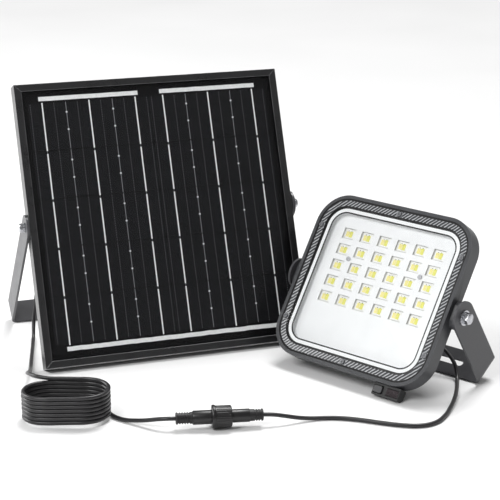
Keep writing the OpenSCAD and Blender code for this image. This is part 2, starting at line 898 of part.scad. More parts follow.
module power_button() {
    rx = 2.4;
    w = button_x[1] - button_x[0];
    h = button_z[1] - button_z[0];
    color("#8a8a8d") on_lamp() slab(button_front, button_back)
        translate([(button_x[0] + button_x[1]) / 2, (button_z[0] + button_z[1]) / 2])
            rounded_rect(w, h, rx);
}

module button_switch() {
    mid_x = (button_x[0] + button_x[1]) / 2;
    mid_z = (button_z[0] + button_z[1]) / 2;
    color("#1a1a1c") on_lamp() block(mid_x - 3, mid_x + 3, -2.2, 0.4, mid_z - 3, mid_z + 3);
}

module lamp_gland() {
    color("#1a1a1c") on_lamp() at_points([lamp_gland_at]) {
        post(rear_end - 7, rear_end, 6);
        post(rear_end, rear_end + 4, hex_r(17), 6);
    }
}

module gland_nut() {
    color("#1a1a1c") on_lamp() at_points([lamp_gland_at]) {
        post(rear_end + 4, gland_end - 6, 8);
        translate([0, gland_end - 6, 0]) rotate([-90, 0, 0]) cylinder(h = 6, r1 = 8, r2 = 4);
    }
}

// ---- lamp pivots ----

module lamp_flat_washers() {
    color("silver") on_lamp() both_sides() at_hinge()
        washer(bracket_outside, m8_washer_t, m8_washer_r, m8_r + thread_fit);
}

module lamp_spring_washers() {
    color("silver") on_lamp() both_sides() at_hinge()
        split_washer(bracket_outside + m8_washer_t, m8_spring_t, m8_spring_r, m8_r + thread_fit);
}

module lamp_pivot_bolts() {
    color("silver") on_lamp() both_sides() at_hinge()
        hex_bolt(108, bracket_outside + m8_washer_t + m8_spring_t, m8_r, m8_head_af, m8_head_h);
}

module lamp_bracket() {
    color("#4b4b4e") on_lamp() at_hinge() rotate([bracket_angle, 0, 0]) difference() {
        strip_u(bracket_outside, bracket_arm, bracket_strip, bracket_bend, m8_r + fit);
        translate([0, 0, -bracket_arm - cut]) linear_extrude(strip_t + 2 * cut) {
            circle(bracket_hole_r);
            for (side = [-1, 1])
                translate([side * (bracket_slot_from + bracket_slot_to) / 2, 0]) {
                    square([bracket_slot_to - bracket_slot_from, bracket_slot], center = true);
                    for (end = [-1, 1])
                        translate([end * (bracket_slot_to - bracket_slot_from) / 2, 0])
                            circle(bracket_slot / 2);
                }
        }
    }
}

// ================= the model =================

frame_left();
frame_right();
frame_top();
frame_bottom();
corner_keys();
edge_seal();
panel_glass();
solar_cells();
cell_ribbons();
bus_bars();
back_sheet();
junction_box();
junction_lid();
lid_gasket();
terminal_board();
junction_screws();
junction_gland();
panel_rivet_nuts();
panel_pivot_bolts();
panel_spring_washers();
panel_flat_washers();
panel_stand();
panel_lead();
cable_coil();
lead_run();
socket_relief();
socket_body();
contact_sockets();
o_ring();
coupling_nut();
plug_body();
contact_pins();
plug_relief();
lamp_lead();
lamp_housing();
rear_cover();
rear_gasket();
rear_screws();
vent_plug();
cover_gasket();
clear_cover();
light_mask();
cover_screws();
reflector();
led_board();
leds();
board_screws();
battery_holder();
battery_cells();
controller_board();
control_box();
ir_window();
power_button();
button_switch();
lamp_gland();
gland_nut();
lamp_pivot_bolts();
lamp_spring_washers();
lamp_flat_washers();
lamp_bracket();
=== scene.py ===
import json
import math
import random

import bmesh
import bpy
from mathutils import Matrix, Vector


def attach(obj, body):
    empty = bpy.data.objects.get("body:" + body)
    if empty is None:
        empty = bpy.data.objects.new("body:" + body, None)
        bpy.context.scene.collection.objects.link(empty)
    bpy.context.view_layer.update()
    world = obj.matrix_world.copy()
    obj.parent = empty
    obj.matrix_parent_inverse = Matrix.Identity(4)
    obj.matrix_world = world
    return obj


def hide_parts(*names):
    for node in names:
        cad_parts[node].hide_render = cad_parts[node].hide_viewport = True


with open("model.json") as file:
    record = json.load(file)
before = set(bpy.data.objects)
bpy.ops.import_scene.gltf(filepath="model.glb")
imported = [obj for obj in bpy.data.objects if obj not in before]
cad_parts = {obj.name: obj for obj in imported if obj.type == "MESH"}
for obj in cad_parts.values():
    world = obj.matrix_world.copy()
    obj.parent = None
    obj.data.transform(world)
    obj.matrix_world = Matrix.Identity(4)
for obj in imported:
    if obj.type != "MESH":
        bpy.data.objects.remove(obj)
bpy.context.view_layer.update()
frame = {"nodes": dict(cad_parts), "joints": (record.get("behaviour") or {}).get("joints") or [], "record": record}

# ---------------------------------------------------------------- measures
MM = 0.001
CENTRE = Vector((-14.2, 474.92, 0.0))  # middle of the object on the drawing, mm
JOINTS = {j["name"]: j for j in frame["joints"]}
RECORD = frame["record"]
BODY_OF = {n: b for b, nodes in RECORD["behaviour"]["bodies"].items() for n in nodes}
CORD = 5.0  # diameter of the lead, mm
COVER_SCREWS = ((-108.5, 63), (108.5, 63), (-108.5, -63), (108.5, -63), (0, 98.5), (0, -98.5))


def place(point):
    """A point of the drawing, in mm, as metres in the row's frame."""
    return (Vector(point) - CENTRE) * MM


def joint_frame(name, lean, offset):
    """The frame of an assembly, from its hinge and the hinge's place in it, in mm."""
    joint = JOINTS[name]
    yaw = math.atan2(joint["axis"][1], joint["axis"][0])
    turn = Matrix.Rotation(yaw, 4, "Z") @ Matrix.Rotation(-math.radians(lean), 4, "X")
    return Matrix.Translation(Vector(joint["pos_m"]) - turn.to_3x3() @ (Vector(offset) * MM)) @ turn


PANEL_LEAN = 22.5  # degrees back from upright
LAMP_LEAN = 33.3
PANEL = joint_frame("stand_tilt", PANEL_LEAN, (0, 2.2, 0))
LAMP = joint_frame("bracket_tilt", LAMP_LEAN, (0, 6, -3))
PLUG = joint_frame("nut_spin", 0, (0, 0, 0))

# ---------------------------------------------------------------- camera
CAMERA_AT = (0, -1500, 731)  # on the drawing, mm
CAMERA_DOWN = 17  # degrees below level
LENS = 115.2  # mm, on a sensor 36 mm wide

lens = bpy.data.cameras.new("camera")
lens.sensor_width = 36
lens.lens = LENS
lens.clip_end = 20
camera = bpy.data.objects.new("camera", lens)
camera.location = place(CAMERA_AT)
camera.rotation_euler = (math.radians(90 - CAMERA_DOWN), 0, 0)
bpy.context.scene.collection.objects.link(camera)
bpy.context.scene.camera = camera


# ---------------------------------------------------------------- materials
def tone(red, green, blue):
    """A screen colour, 0 to 255, as linear light."""
    return tuple(
        ((c / 255 + 0.055) / 1.055) ** 2.4 if c > 10 else c / 255 / 12.92 for c in (red, green, blue)
    ) + (1.0,)


class Shader:
    """A node material with short ways to add and join nodes."""

    def __init__(self, name):
        self.material = bpy.data.materials.new(name)
        self.material.use_nodes = True
        self.tree = self.material.node_tree
        self.bsdf = self.tree.nodes["Principled BSDF"]

    def add(self, kind, inputs=None, **settings):
        node = self.tree.nodes.new(kind)
        for key, value in settings.items():
            setattr(node, key, value)
        for key, value in (inputs or {}).items():
            self.feed(node.inputs[key], value)
        return node

    def feed(self, socket, value):
        if isinstance(value, bpy.types.NodeSocket):
            self.tree.links.new(value, socket)
        else:
            socket.default_value = value

    def math(self, operation, a, b=0.0, c=0.0):
        return self.add("ShaderNodeMath", {0: a, 1: b, 2: c}, operation=operation).outputs[0]

    def noise(self, size, detail=3.0):
        """Noise whose features are about size mm across."""
        where = self.add("ShaderNodeTexCoord").outputs["Object"]
        return self.add(
            "ShaderNodeTexNoise",
            {"Vector": where, "Scale": 1 / (size * MM), "Detail": detail, "Roughness": 0.5},
        ).outputs["Fac"]

    def spread(self, value, low, high, from_low=0.3, from_high=0.7):
        return self.add(
            "ShaderNodeMapRange",
            {"Value": value, "From Min": from_low, "From Max": from_high, "To Min": low, "To Max": high},
        ).outputs["Result"]

    def mix(self, factor, a, b):
        node = self.add("ShaderNodeMix", data_type="RGBA")
        self.feed(node.inputs[0], factor)
        self.feed(node.inputs[6], a)
        self.feed(node.inputs[7], b)
        return node.outputs[2]

    def local(self):
        """The x, y and z, in mm, that a built piece keeps of its own drawing."""
        where = self.add("ShaderNodeAttribute", attribute_name="local").outputs["Vector"]
        return self.add("ShaderNodeSeparateXYZ", {0: where}).outputs

    def bump(self, height, strength, distance):
        node = self.add(
            "ShaderNodeBump", {"Height": height, "Strength": strength, "Distance": distance * MM}
        )
        self.tree.links.new(node.outputs["Normal"], self.bsdf.inputs["Normal"])


def scaled(colour, factor):
    return tuple(min(1.0, c * factor) for c in colour[:3]) + (1.0,)


# Colour of the painted highlight along rounded edges.
EDGE_HIGHLIGHT_TONE = tone(150, 150, 153)


def surface(name, colour, rough, metal=0.0, grain=0.5, bump=0.15, blotch=14.0, vary=0.15,
            specular=0.5, coat=0.0, edge=0.0):
    """Colour that varies over blotch mm, and a fine grain in bump and roughness; edge sets a painted highlight
    along rounded edges.
    """
    s = Shader(name)
    fine = s.noise(grain, 2.0)
    broad = s.noise(blotch, 4.0)
    base = s.mix(s.spread(broad, 0.0, 1.0), scaled(colour, 1 - vary), scaled(colour, 1 + vary))
    base = s.mix(s.spread(fine, 0.0, 0.25), base, scaled(colour, 1 + 2 * vary))
    # Painted highlight: a lighter tone where the rounded normal turns away from the flat one, in place of light
    # caught by the edges.
    if edge:
        rounded_normal = s.add("ShaderNodeBevel", {"Radius": 0.8 * MM}, samples=3).outputs["Normal"]
        flat = s.add("ShaderNodeNewGeometry").outputs["Normal"]
        dot = s.add("ShaderNodeVectorMath", {0: rounded_normal, 1: flat}, operation="DOT_PRODUCT").outputs["Value"]
        mask = s.math("MULTIPLY", s.spread(dot, edge, 0.0, 0.9, 0.995), s.spread(broad, 0.5, 1.0))
        base = s.mix(mask, base, EDGE_HIGHLIGHT_TONE)
    s.feed(s.bsdf.inputs["Base Color"], base)
    uneven = s.spread(s.math("ADD", broad, fine), rough - 0.07, rough + 0.07, 0.6, 1.4)
    s.feed(s.bsdf.inputs["Roughness"], uneven)
    s.bsdf.inputs["Metallic"].default_value = metal
    s.bsdf.inputs["Specular IOR Level"].default_value = specular
    s.bsdf.inputs["Coat Weight"].default_value = coat
    s.bsdf.inputs["Coat Roughness"].default_value = 0.15
    s.bump(fine, bump, 0.12)
    return s.material


def clear(name, tint, gloss_rough=0.05, gloss=1.0):
    """Thin clear sheet: see-through, with a reflection that grows at a grazing angle."""
    s = Shader(name)
    through = s.add("ShaderNodeBsdfTransparent", {"Color": tint})
    film = s.spread(s.noise(40.0, 3.0), gloss_rough * 0.6, gloss_rough * 1.6)
    shine = s.add("ShaderNodeBsdfGlossy", {"Roughness": film, "Color": (gloss, gloss, gloss, 1)})
    grazing = s.add("ShaderNodeLayerWeight", {"Blend": 0.5}).outputs["Facing"]
    share = s.math("MULTIPLY_ADD", s.math("POWER", grazing, 5.0), 0.98, 0.02)
    both = s.add("ShaderNodeMixShader", {0: share, 1: through.outputs[0], 2: shine.outputs[0]})
    out = s.tree.nodes["Material Output"]
    s.tree.links.new(both.outputs[0], out.inputs["Surface"])
    return s.material


def cell_material():
    """Dark silicon with printed lines: two grey ones with pads, four faint dotted ones."""
    s = Shader("silicon_cell")
    x, _, z = s.local()
    line_pitch = 15.25
    away = s.math("PINGPONG", s.math("ADD", x, 8 * line_pitch), line_pitch / 2)
    column = s.math("ABSOLUTE", x)
    pad_line = s.math("ABSOLUTE", s.math("SUBTRACT", column, 2 * line_pitch))
    on_line = s.spread(away, 1.0, 0.0, 0.2, 0.42)
    on_pad_line = s.spread(pad_line, 1.0, 0.0, 0.25, 0.5)
    dots = s.spread(s.math("PINGPONG", z, 1.5), 0.0, 1.0, 0.75, 1.1)
    faint = s.math("MULTIPLY", s.math("MULTIPLY", on_line, dots), 0.45)
    drop = s.math("MINIMUM", s.math("ABSOLUTE", s.math("SUBTRACT", z, -5.4)),
                  s.math("ABSOLUTE", s.math("SUBTRACT", z, 17.0)))
    reach = s.math("SQRT", s.math("ADD", s.math("POWER", pad_line, 2.0), s.math("POWER", drop, 2.0)))
    pad = s.spread(reach, 1.0, 0.0, 0.9, 1.5)
    fingers = s.spread(s.math("PINGPONG", z, 0.75), 0.10, 0.0, 0.05, 0.2)
    light = s.math("MAXIMUM", s.math("MULTIPLY", on_pad_line, 0.6), s.math("MAXIMUM", faint, fingers))
    crystal = s.mix(s.spread(s.noise(9.0, 5.0), 0, 1), tone(8, 7, 10), tone(17, 15, 19))
    base = s.mix(light, crystal, tone(178, 180, 184))
    base = s.mix(pad, base, tone(225, 227, 230))
    s.feed(s.bsdf.inputs["Base Color"], base)
    s.feed(s.bsdf.inputs["Roughness"], s.spread(s.noise(0.6, 2.0), 0.35, 0.5))
    s.bsdf.inputs["Specular IOR Level"].default_value = 0.12
    s.bump(s.noise(0.5, 2.0), 0.1, 0.05)
    return s.material


def prism_material():
    """Moulded prisms, all slanting one way: the glint of each prism painted as a light stripe on a dark ground."""
    s = Shader("prism_ring")
    x, _, z = s.local()
    pitch = 5.3
    wobble = s.spread(s.noise(6.0, 2.0), -0.5, 0.5)
    across = s.math("ADD", s.math("SUBTRACT", x, z), s.math("ADD", wobble, 600))
    phase = s.math("FRACT", s.math("DIVIDE", across, pitch))
    # Painted highlight: the light stripe across each prism's pitch stands in for the glint off its facet.
    rise = s.spread(phase, 0.0, 1.0, 0.05, 0.30)
    fall = s.spread(phase, 1.0, 0.0, 0.40, 0.55)
    prism_glint = s.math("MULTIPLY", rise, fall)
    shade = s.spread(s.noise(5.0, 3.0), 0.65, 1.0)
    base = s.mix(s.math("MULTIPLY", prism_glint, shade), tone(58, 59, 62), tone(196, 198, 201))
    nearest = 100.0
    for bx, bz in COVER_SCREWS:
        reach = s.math("SQRT", s.math("ADD", s.math("POWER", s.math("SUBTRACT", x, bx), 2.0),
                                      s.math("POWER", s.math("SUBTRACT", z, bz), 2.0)))
        nearest = s.math("MINIMUM", reach, nearest)
    base = s.mix(s.spread(nearest, 1.0, 0.0, 4.3, 4.8), base, tone(70, 71, 74))
    circle = s.math("MULTIPLY", s.spread(nearest, 0.0, 1.0, 3.7, 4.0), s.spread(nearest, 1.0, 0.0, 4.3, 4.6))
    base = s.mix(circle, base, tone(150, 152, 155))
    s.feed(s.bsdf.inputs["Base Color"], base)
    s.bsdf.inputs["Roughness"].default_value = 0.22
    s.bsdf.inputs["Coat Weight"].default_value = 0.3
    s.bump(phase, 0.35, 0.5)
    return s.material


def die_material(name, pale, deep):
    """Yellow phosphor, pale and deep in random patches."""
    s = Shader(name)
    base = s.mix(s.spread(s.noise(1.2, 3.0), 0, 1), deep, pale)
    s.feed(s.bsdf.inputs["Base Color"], base)
    s.feed(s.bsdf.inputs["Roughness"], s.spread(s.noise(0.5, 2.0), 0.3, 0.45))
    s.bump(s.noise(0.4, 2.0), 0.2, 0.05)
    return s.material


# The edge argument paints a highlight along rounded edges: strong on the frame, faint on the bracket paint and the
# lamp grey.
FRAME_BLACK = surface("frame_black", tone(17, 17, 19), 0.30, grain=0.25, bump=0.08, blotch=30, vary=0.10,
                      specular=0.85, edge=0.9)
ALUMINIUM = surface("mill_aluminium", tone(190, 190, 193), 0.35, metal=1.0, grain=0.3, bump=0.1)
RUBBER = surface("seal_rubber", tone(17, 17, 18), 0.6, grain=0.3, bump=0.2, vary=0.2)
PANEL_GLASS = clear("panel_glass", (0.985, 0.99, 0.99, 1), 0.06, 0.30)
CELL = cell_material()
# Near-white and not metallic: the tin's own pale colour with its bright reflection painted into it.
TINNED = surface("tinned_ribbon", tone(252, 252, 252), 0.5, metal=0.0, grain=1.2, bump=0.5, blotch=4,
                 vary=0.12)
BACK_SHEET = surface("back_sheet", tone(12, 11, 13), 0.5, grain=0.3, bump=0.15, blotch=25, vary=0.2,
                     specular=0.15)
BLACK_PLASTIC = surface("black_plastic", tone(30, 30, 31), 0.45, grain=0.2, bump=0.25, blotch=10, vary=0.2)
CIRCUIT = surface("circuit_board", tone(14, 82, 46), 0.35, grain=0.4, bump=0.1, blotch=8, vary=0.2)
ZINC = surface("zinc_steel", tone(188, 189, 193), 0.24, metal=1.0, grain=0.35, bump=0.12, blotch=3, vary=0.16)
BOARD_SCREW = surface("board_screw", tone(178, 179, 183), 0.45, metal=0.2, grain=0.4, bump=0.3, blotch=2,
                      vary=0.3)
DARK_STEEL = surface("dark_steel", tone(120, 121, 124), 0.35, metal=0.7, grain=0.3, bump=0.1, blotch=3,
                     vary=0.2)
STAND_PAINT = surface("bracket_paint", tone(66, 66, 69), 0.36, grain=0.22, bump=0.22, blotch=18, vary=0.08,
                      edge=0.2)
JACKET = surface("cord_jacket", tone(33, 32, 34), 0.36, grain=0.35, bump=0.12, blotch=20, vary=0.10)
RELIEF = surface("connector_rubber", tone(22, 21, 22), 0.5, grain=0.25, bump=0.2, blotch=6, vary=0.15)
NYLON = surface("connector_plastic", tone(22, 21, 22), 0.36, grain=0.25, bump=0.15, blotch=8, vary=0.12)
BRASS = surface("contact_brass", tone(196, 160, 92), 0.3, metal=1.0, grain=0.2, bump=0.1)
LAMP_GREY = surface("lamp_grey", tone(60, 61, 64), 0.34, grain=0.22, bump=0.20, blotch=22, vary=0.08,
                    edge=0.2)
LAMP_CLEAR = clear("lamp_clear", (0.992, 0.995, 0.995, 1), 0.04, 0.8)
PRISMS = prism_material()
WHITE = surface("white_plastic", tone(250, 251, 252), 0.30, grain=0.4, bump=0.06, blotch=30, vary=0.02,
                coat=0.2)
BOARD_WHITE = surface("board_white", tone(236, 236, 232), 0.45, grain=0.4, bump=0.08, blotch=10, vary=0.04)
LED_WHITE = surface("led_package", tone(250, 250, 246), 0.35, grain=0.3, bump=0.05, blotch=4, vary=0.03)
PHOSPHOR = die_material("led_phosphor", tone(252, 243, 178), tone(244, 230, 132))
PHOSPHOR_GREEN = die_material("led_phosphor_green", tone(242, 238, 140), tone(228, 226, 96))
LED_MARK = surface("led_mark", tone(60, 58, 50), 0.4, grain=0.2, bump=0.05)
SLEEVE = surface("cell_wrap", tone(54, 110, 168), 0.3, grain=0.5, bump=0.1)
IR_RED = surface("ir_red", tone(40, 31, 35), 0.22, grain=0.4, bump=0.04, blotch=5, vary=0.25, coat=0.15)
BUTTON = surface("button_grey", tone(66, 66, 68), 0.42, grain=0.25, bump=0.2, blotch=4, vary=0.12)
CONTROL = surface("control_black", tone(17, 17, 18), 0.42, grain=0.22, bump=0.2, blotch=8, vary=0.15)
BLACK_LINE = surface("black_line", tone(18, 18, 19), 0.5, grain=0.3, bump=0.1)


# ---------------------------------------------------------------- building
def link(name, data, body, replaces=()):
    piece = bpy.data.objects.new(name, data)
    bpy.context.scene.collection.objects.link(piece)
    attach(piece, body)
    if replaces:
        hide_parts(*replaces)
    return piece


SHARP = 38  # degrees between faces at which an edge shows
FLAT = 0.6  # degrees between faces that count as one
WELD = 0.002  # mm between points that count as one


def sharp_shading(mesh, angle=SHARP):
    mesh.shade_smooth()
    mesh.set_sharp_from_angle(angle=math.radians(angle))


def from_bmesh(name, bm, matrix, materials, body, replaces=(), angle=SHARP):
    """A piece from a bmesh drawn in mm in its own frame, which it keeps as the attribute local."""
    mesh = bpy.data.meshes.new(name)
    bmesh.ops.recalc_face_normals(bm, faces=bm.faces)
    bm.to_mesh(mesh)
    bm.free()
    keep = mesh.attributes.new("local", "FLOAT_VECTOR", "POINT")
    for vertex, cell in zip(mesh.vertices, keep.data):
        cell.vector = vertex.co
    mesh.transform(matrix @ Matrix.Scale(MM, 4))
    for material in materials:
        mesh.materials.append(material)
    sharp_shading(mesh, angle)
    return link(name, mesh, body, replaces)


def fine(node, material, bevel):
    """The CAD node with its facets joined and its sharp edges rounded by bevel mm."""
    mesh = frame["nodes"][node].data.copy()
    bm = bmesh.new()
    bm.from_mesh(mesh)
    bmesh.ops.remove_doubles(bm, verts=bm.verts, dist=WELD * MM)
    bmesh.ops.dissolve_limit(bm, angle_limit=math.radians(FLAT), verts=bm.verts, edges=bm.edges)
    bm.to_mesh(mesh)
    bm.free()
    mesh.materials.clear()
    mesh.materials.append(material)
    sharp_shading(mesh)
    piece = link(node + "_piece", mesh, BODY_OF[node], (node,))
    if bevel:
        rounding = piece.modifiers.new("edges", "BEVEL")
        rounding.width = bevel * MM
        rounding.segments = 2
        rounding.limit_method = "ANGLE"
        rounding.angle_limit = math.radians(SHARP)
        rounding.use_clamp_overlap = True
        rounding.harden_normals = True
    return piece


def add_box(bm, lo, hi, bevel=0.0, material=0):
    made = bmesh.ops.create_cube(bm, size=1.0)["verts"]
    middle = (Vector(lo) + Vector(hi)) / 2
    size = Vector(hi) - Vector(lo)
    for vertex in made:
        vertex.co = Vector([vertex.co[i] * size[i] for i in range(3)]) + middle
    faces = {f for v in made for f in v.link_faces}
    for face in faces:
        face.material_index = material
    if bevel:
        edges = list({e for v in made for e in v.link_edges})
        bmesh.ops.bevel(bm, geom=edges, offset=bevel, segments=2, affect="EDGES", profile=0.5, material=-1)


def add_loft(bm, loops, material=0, around=True):
    """Faces between loops of the same number of points."""
    rows = [[bm.verts.new(p) for p in loop] for loop in loops]
    count = len(rows[0])
    for a, b in zip(rows, rows[1:]):
        for i in range(count if around else count - 1):
            j = (i + 1) % count
            bm.faces.new((a[i], a[j], b[j], b[i])).material_index = material
    return rows


def revolve(bm, profile, sides=72, material=0, groove=None):
    """Turns a closed profile of (x, r) about X; groove(x, angle) takes off the radius."""
    loops = []
    for x, r in profile + profile[:1]:
        ring = []
        for k in range(sides):
            a = 2 * math.pi * k / sides
            q = r - (groove(x, r, a) if groove else 0.0)
            ring.append((x, q * math.cos(a), q * math.sin(a)))
        loops.append(ring)
    add_loft(bm, loops, material=material)
    bmesh.ops.remove_doubles(bm, verts=bm.verts, dist=0.0005)


def lamp_outline(edge, corner=18, straight=12):
    """The rounded square of the lamp, edge mm in from the outside, as (x, z)."""
    w, h, r = 118 - edge, 109 - edge, 42 - edge
    points = []
    for sx, sz, start in ((1, 1, 0), (-1, 1, 90), (-1, -1, 180), (1, -1, 270)):
        arc = []
        for k in range(corner + 1):
            a = math.radians(start + 90 * k / corner)
            arc.append((sx * (w - r) + r * math.cos(a), sz * (h - r) + r * math.sin(a)))
        if points:
            points += between(points[-1], arc[0], straight)
        points += arc
    return points + between(points[-1], points[0], straight)


def between(a, b, steps):
    return [(a[0] + (b[0] - a[0]) * k / steps, a[1] + (b[1] - a[1]) * k / steps) for k in range(1, steps)]


def at_depth(outline, y):
    return [(x, y, z) for x, z in outline]


# ---------------------------------------------------------------- cords
def route_curve(name, points, body, replaces):
    curve = bpy.data.curves.new(name, "CURVE")
    curve.dimensions = "3D"
    curve.bevel_depth = CORD * MM / 2
    curve.bevel_resolution = 5
    curve.resolution_u = 5
    curve.use_fill_caps = True
    spline = curve.splines.new("BEZIER")
    spline.bezier_points.add(len(points) - 1)
    for bezier, point in zip(spline.bezier_points, points):
        bezier.co = place(point)
        bezier.handle_left_type = bezier.handle_right_type = "AUTO"
    curve.materials.append(JACKET)
    return link(name, curve, body, replaces)


def route_length(curve_object):
    bpy.context.view_layer.update()
    return curve_object.data.splines[0].calc_length()


PANEL_ROUTE = [
    (-219, 482.5, 225), (-231, 478.5, 225), (-245, 475, 221), (-257, 475, 211), (-265, 478, 194),
    (-269, 484, 167), (-272, 491, 132), (-276, 498, 97), (-281, 502, 64), (-285, 502, 36),
    (-286.5, 496, 16), (-285.5, 484, 5), (-284, 467, 2.6), (-281, 436, 2.6), (-278, 405, 2.6),
    (-275, 375, 3.5), (-272, 345, 10), (-270, 315, 20), (-266, 290, 30), (-261, 270, 36.5),
    (-252, 256, 39), (-242, 251.3, 39)]
LEAD_ROUTE = [
    (-160, 224.5, 2.6), (-153.5, 217, 2.6), (-144, 210, 3), (-132, 203.5, 5),
    (-118, 196, 8.5), (-106, 190.5, 12), (-95, 187.2, 14), (-85, 188, 14)]
LAMP_ROUTE = [
    (15.3, 200, 14), (27, 201.4, 13.2), (40, 204, 10.5), (55, 208.5, 6.5), (70, 213.5, 3.6),
    (86, 217, 2.6), (105, 216.5, 2.6), (128, 211, 2.6), (150, 203, 2.6), (174, 196, 2.6),
    (195, 194.5, 2.6), (213, 203, 2.6), (226, 222, 2.6), (236, 248, 2.6), (244, 275, 2.6),
    (250, 302, 2.6), (253.3, 323, 2.6), (254.8, 335, 4), (255, 344.5, 9.5), (253, 353.5, 17.5),
    (247.5, 363, 25), (239.5, 371.5, 31.5), (229.5, 377, 36), (219.5, 378.5, 40.5),
    (212.4, 375, 45.4), (206.7, 368.8, 50.8)]
COIL_AT = (-213, 222)
COIL_STRAIGHT = 42.0
COIL_R = 28.5
COIL_TURNS = 7.27
COIL_TOP = 38.4
LIE = 2.6  # height of the middle of a cord that lies on the floor


def coil_point(distance, r):
    """The point that far along the hank's outline from its back left, going right and then round."""
    half = math.pi * r
    s = distance % (2 * COIL_STRAIGHT + 2 * half)
    left, right = COIL_AT[0] - COIL_STRAIGHT / 2, COIL_AT[0] + COIL_STRAIGHT / 2
    if s < COIL_STRAIGHT:
        return left + s, COIL_AT[1] + r
    s -= COIL_STRAIGHT
    if s < half:
        a = math.pi / 2 - s / r
        return right + r * math.cos(a), COIL_AT[1] + r * math.sin(a)
    s -= half
    if s < COIL_STRAIGHT:
        return right - s, COIL_AT[1] - r
    s -= COIL_STRAIGHT
    a = -math.pi / 2 - s / r
    return left + r * math.cos(a), COIL_AT[1] + r * math.sin(a)


def coil_route():
    rng = random.Random(7)
    lap = 2 * COIL_STRAIGHT + 2 * math.pi * COIL_R
    per_turn = 18
    count = int(per_turn * COIL_TURNS)
    shifts = [rng.uniform(-0.55, 0.35) for _ in range(9)]
    points = []
    for k in range(count + 1):
        turn = COIL_TURNS * k / count
        whole = int(turn)
        mixed = shifts[whole] + (shifts[whole + 1] - shifts[whole]) * (turn - whole)
        fade = min(1.0, k / per_turn, (count - k) / per_turn)
        x, y = coil_point(turn * lap, COIL_R)
        dx, dy = x - COIL_AT[0], y - COIL_AT[1]
        grow = 1 + mixed * fade / math.hypot(dx, dy)
        z = COIL_TOP + (LIE - COIL_TOP) * turn / COIL_TURNS
        points.append((COIL_AT[0] + dx * grow, COIL_AT[1] + dy * grow, z))
    return points


panel_cord = route_curve(
    "panel_cord", PANEL_ROUTE + coil_route() + LEAD_ROUTE, "panel",
    ("panel_lead", "cable_coil", "lead_run"))
lamp_cord = route_curve("lamp_cord", LAMP_ROUTE[::-1], "lamp", ("lamp_lead",))


# ---------------------------------------------------------------- connector
def sleeve(name, node, start, end, r, cord_side):
    """A ribbed strain relief that tapers to the cord; cord_side is -1 for its start, 1 for its end."""
    length = end - start
    rib, gap, depth = 1.6, 1.4, 1.1
    outer = [(0.0, r - 1.4), (0.3, r - 0.4), (0.9, r), (2.2, r), (2.5, r - 0.3)]
    x = 2.6
    while x < length - 4.4:
        shrink = 0.25 * (1 - x / length)
        outer += [(x, r - depth), (x + gap, r - depth), (x + gap + 0.2, r - 0.25 - shrink),
                  (x + gap + 0.5, r - shrink), (x + gap + rib - 0.3, r - shrink),
                  (x + gap + rib - 0.1, r - 0.25)]
        x += gap + rib
    outer += [(x + 0.3, r - 0.2), (length, r - 0.1)]
    bore = CORD / 2 - 0.05
    profile = outer + [(length, bore), (0.0, bore)]
    if cord_side > 0:
        profile = [(length - a, b) for a, b in profile][::-1]
    bm = bmesh.new()
    revolve(bm, [(start + a, b) for a, b in profile], 64)
    return from_bmesh(name, bm, PLUG, [RELIEF], BODY_OF[node], (node,), 32)


socket_sleeve = sleeve("socket_sleeve", "socket_relief", 0.0, 19.5, 7.0, -1)
plug_sleeve = sleeve("plug_sleeve", "plug_relief", 85.2, 101.0, 7.0, 1)

bm = bmesh.new()
revolve(bm, [(19.5, 3.0), (19.5, 7.4), (19.8, 7.9), (20.6, 8.2), (36.0, 8.2), (43.8, 8.2), (44.2, 9.2),
             (46.3, 9.4), (46.5, 9.0), (46.6, 6.0), (59.6, 6.0), (60.0, 5.6), (60.0, 3.0)], 72)
socket_piece = from_bmesh("socket_piece", bm, PLUG, [NYLON], BODY_OF["socket_body"],
                          ("socket_body",))


def nut_groove(x, r, angle):
    if r < 12.2 or x < 46.8 or x > 62.6:
        return 0.0
    return 0.28 * max(0.0, math.cos(24 * angle) - 0.45) / 0.55


bm = bmesh.new()
revolve(bm, [(41.5, 8.3), (41.5, 12.6), (41.8, 13.4), (42.4, 13.8), (44.9, 13.8), (45.3, 13.5), (45.6, 12.95),
             (46.6, 12.8), (46.9, 12.8), (50.0, 12.8), (54.0, 12.8), (58.0, 12.8), (62.5, 12.8), (62.7, 12.8),
             (63.6, 12.5), (64.2, 11.9), (64.5, 11.2), (64.4, 10.4), (63.8, 10.0), (44.2, 10.0), (44.0, 8.3)],
        288, groove=nut_groove)
nut_piece = from_bmesh("nut_piece", bm, PLUG, [NYLON], "coupling_nut",
                       ("coupling_nut",))

bm = bmesh.new()
revolve(bm, [(48.3, 6.4), (48.3, 8.7), (48.6, 9.0), (62.3, 9.0), (62.5, 8.7), (62.6, 7.7), (84.6, 7.7),
             (85.1, 7.4), (85.2, 7.0), (85.2, 2.6), (61.5, 2.6), (61.4, 6.4)], 72)
plug_piece = from_bmesh("plug_piece", bm, PLUG, [NYLON], BODY_OF["plug_body"],
                        ("plug_body",))

route_length(panel_cord)
route_length(lamp_cord)

# ---------------------------------------------------------------- solar panel
for node in ("frame_left", "frame_right", "frame_top", "frame_bottom"):
    fine(node, FRAME_BLACK, 0.45)

COLUMNS = (-79.5, 79.5)
ROW_PITCH = 61.7
ROWS = [1.8 + (r - 2) * ROW_PITCH for r in range(5)]
RIBBONS = (-61, 0, 61)
CELL_Y = (-5.1, -4.7)

CELL_HALF = (79, 30)
CHAMFER = 2.2

